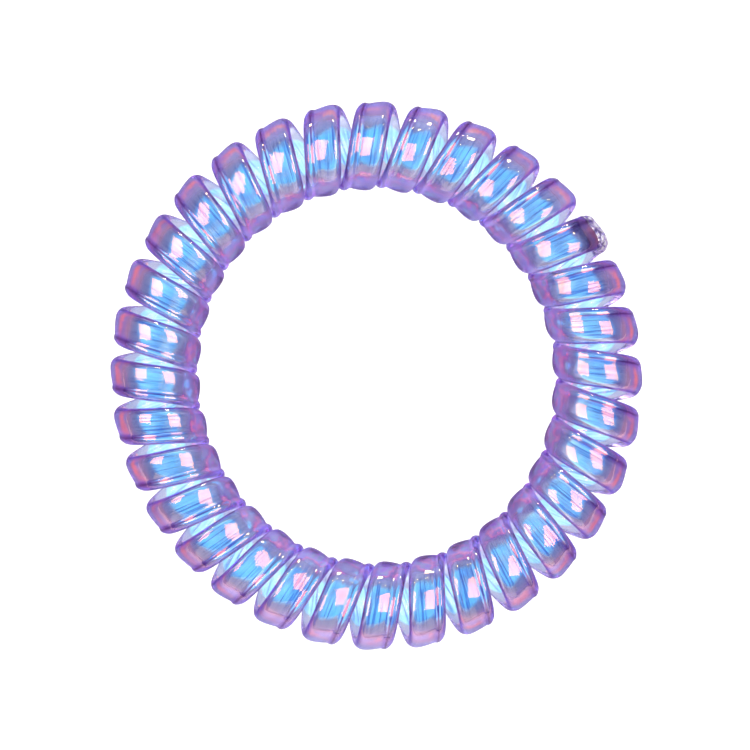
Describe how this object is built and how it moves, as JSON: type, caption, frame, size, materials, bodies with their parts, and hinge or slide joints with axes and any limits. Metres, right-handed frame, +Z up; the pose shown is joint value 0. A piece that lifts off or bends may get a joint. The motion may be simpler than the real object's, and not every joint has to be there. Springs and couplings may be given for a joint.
{
  "type": "spiral hair tie",
  "caption": "Translucent iridescent spiral hair tie: a flat plastic ribbon coiled like a spring round a closed oval ring, which stretches round a bundle of hair.",
  "frame": {"origin": "centre of the ring, on the plane that the underside of its coils rests on", "axes": "+Z up, along the axis of the ring's hole; +Y along the longer side of the slightly oval ring, towards the first coil; +X to the right of +Y seen from above"},
  "size_m": [0.0532, 0.055, 0.009],
  "materials": {
    "strand": "glossy translucent violet with an iridescent blue sheen",
    "weld_bead": "glossy, nearly clear and lumpy"
  },
  "bodies": {
    "root": {"strand": "strand", "weld_bead": "weld_bead"}
  },
  "joints": []
}
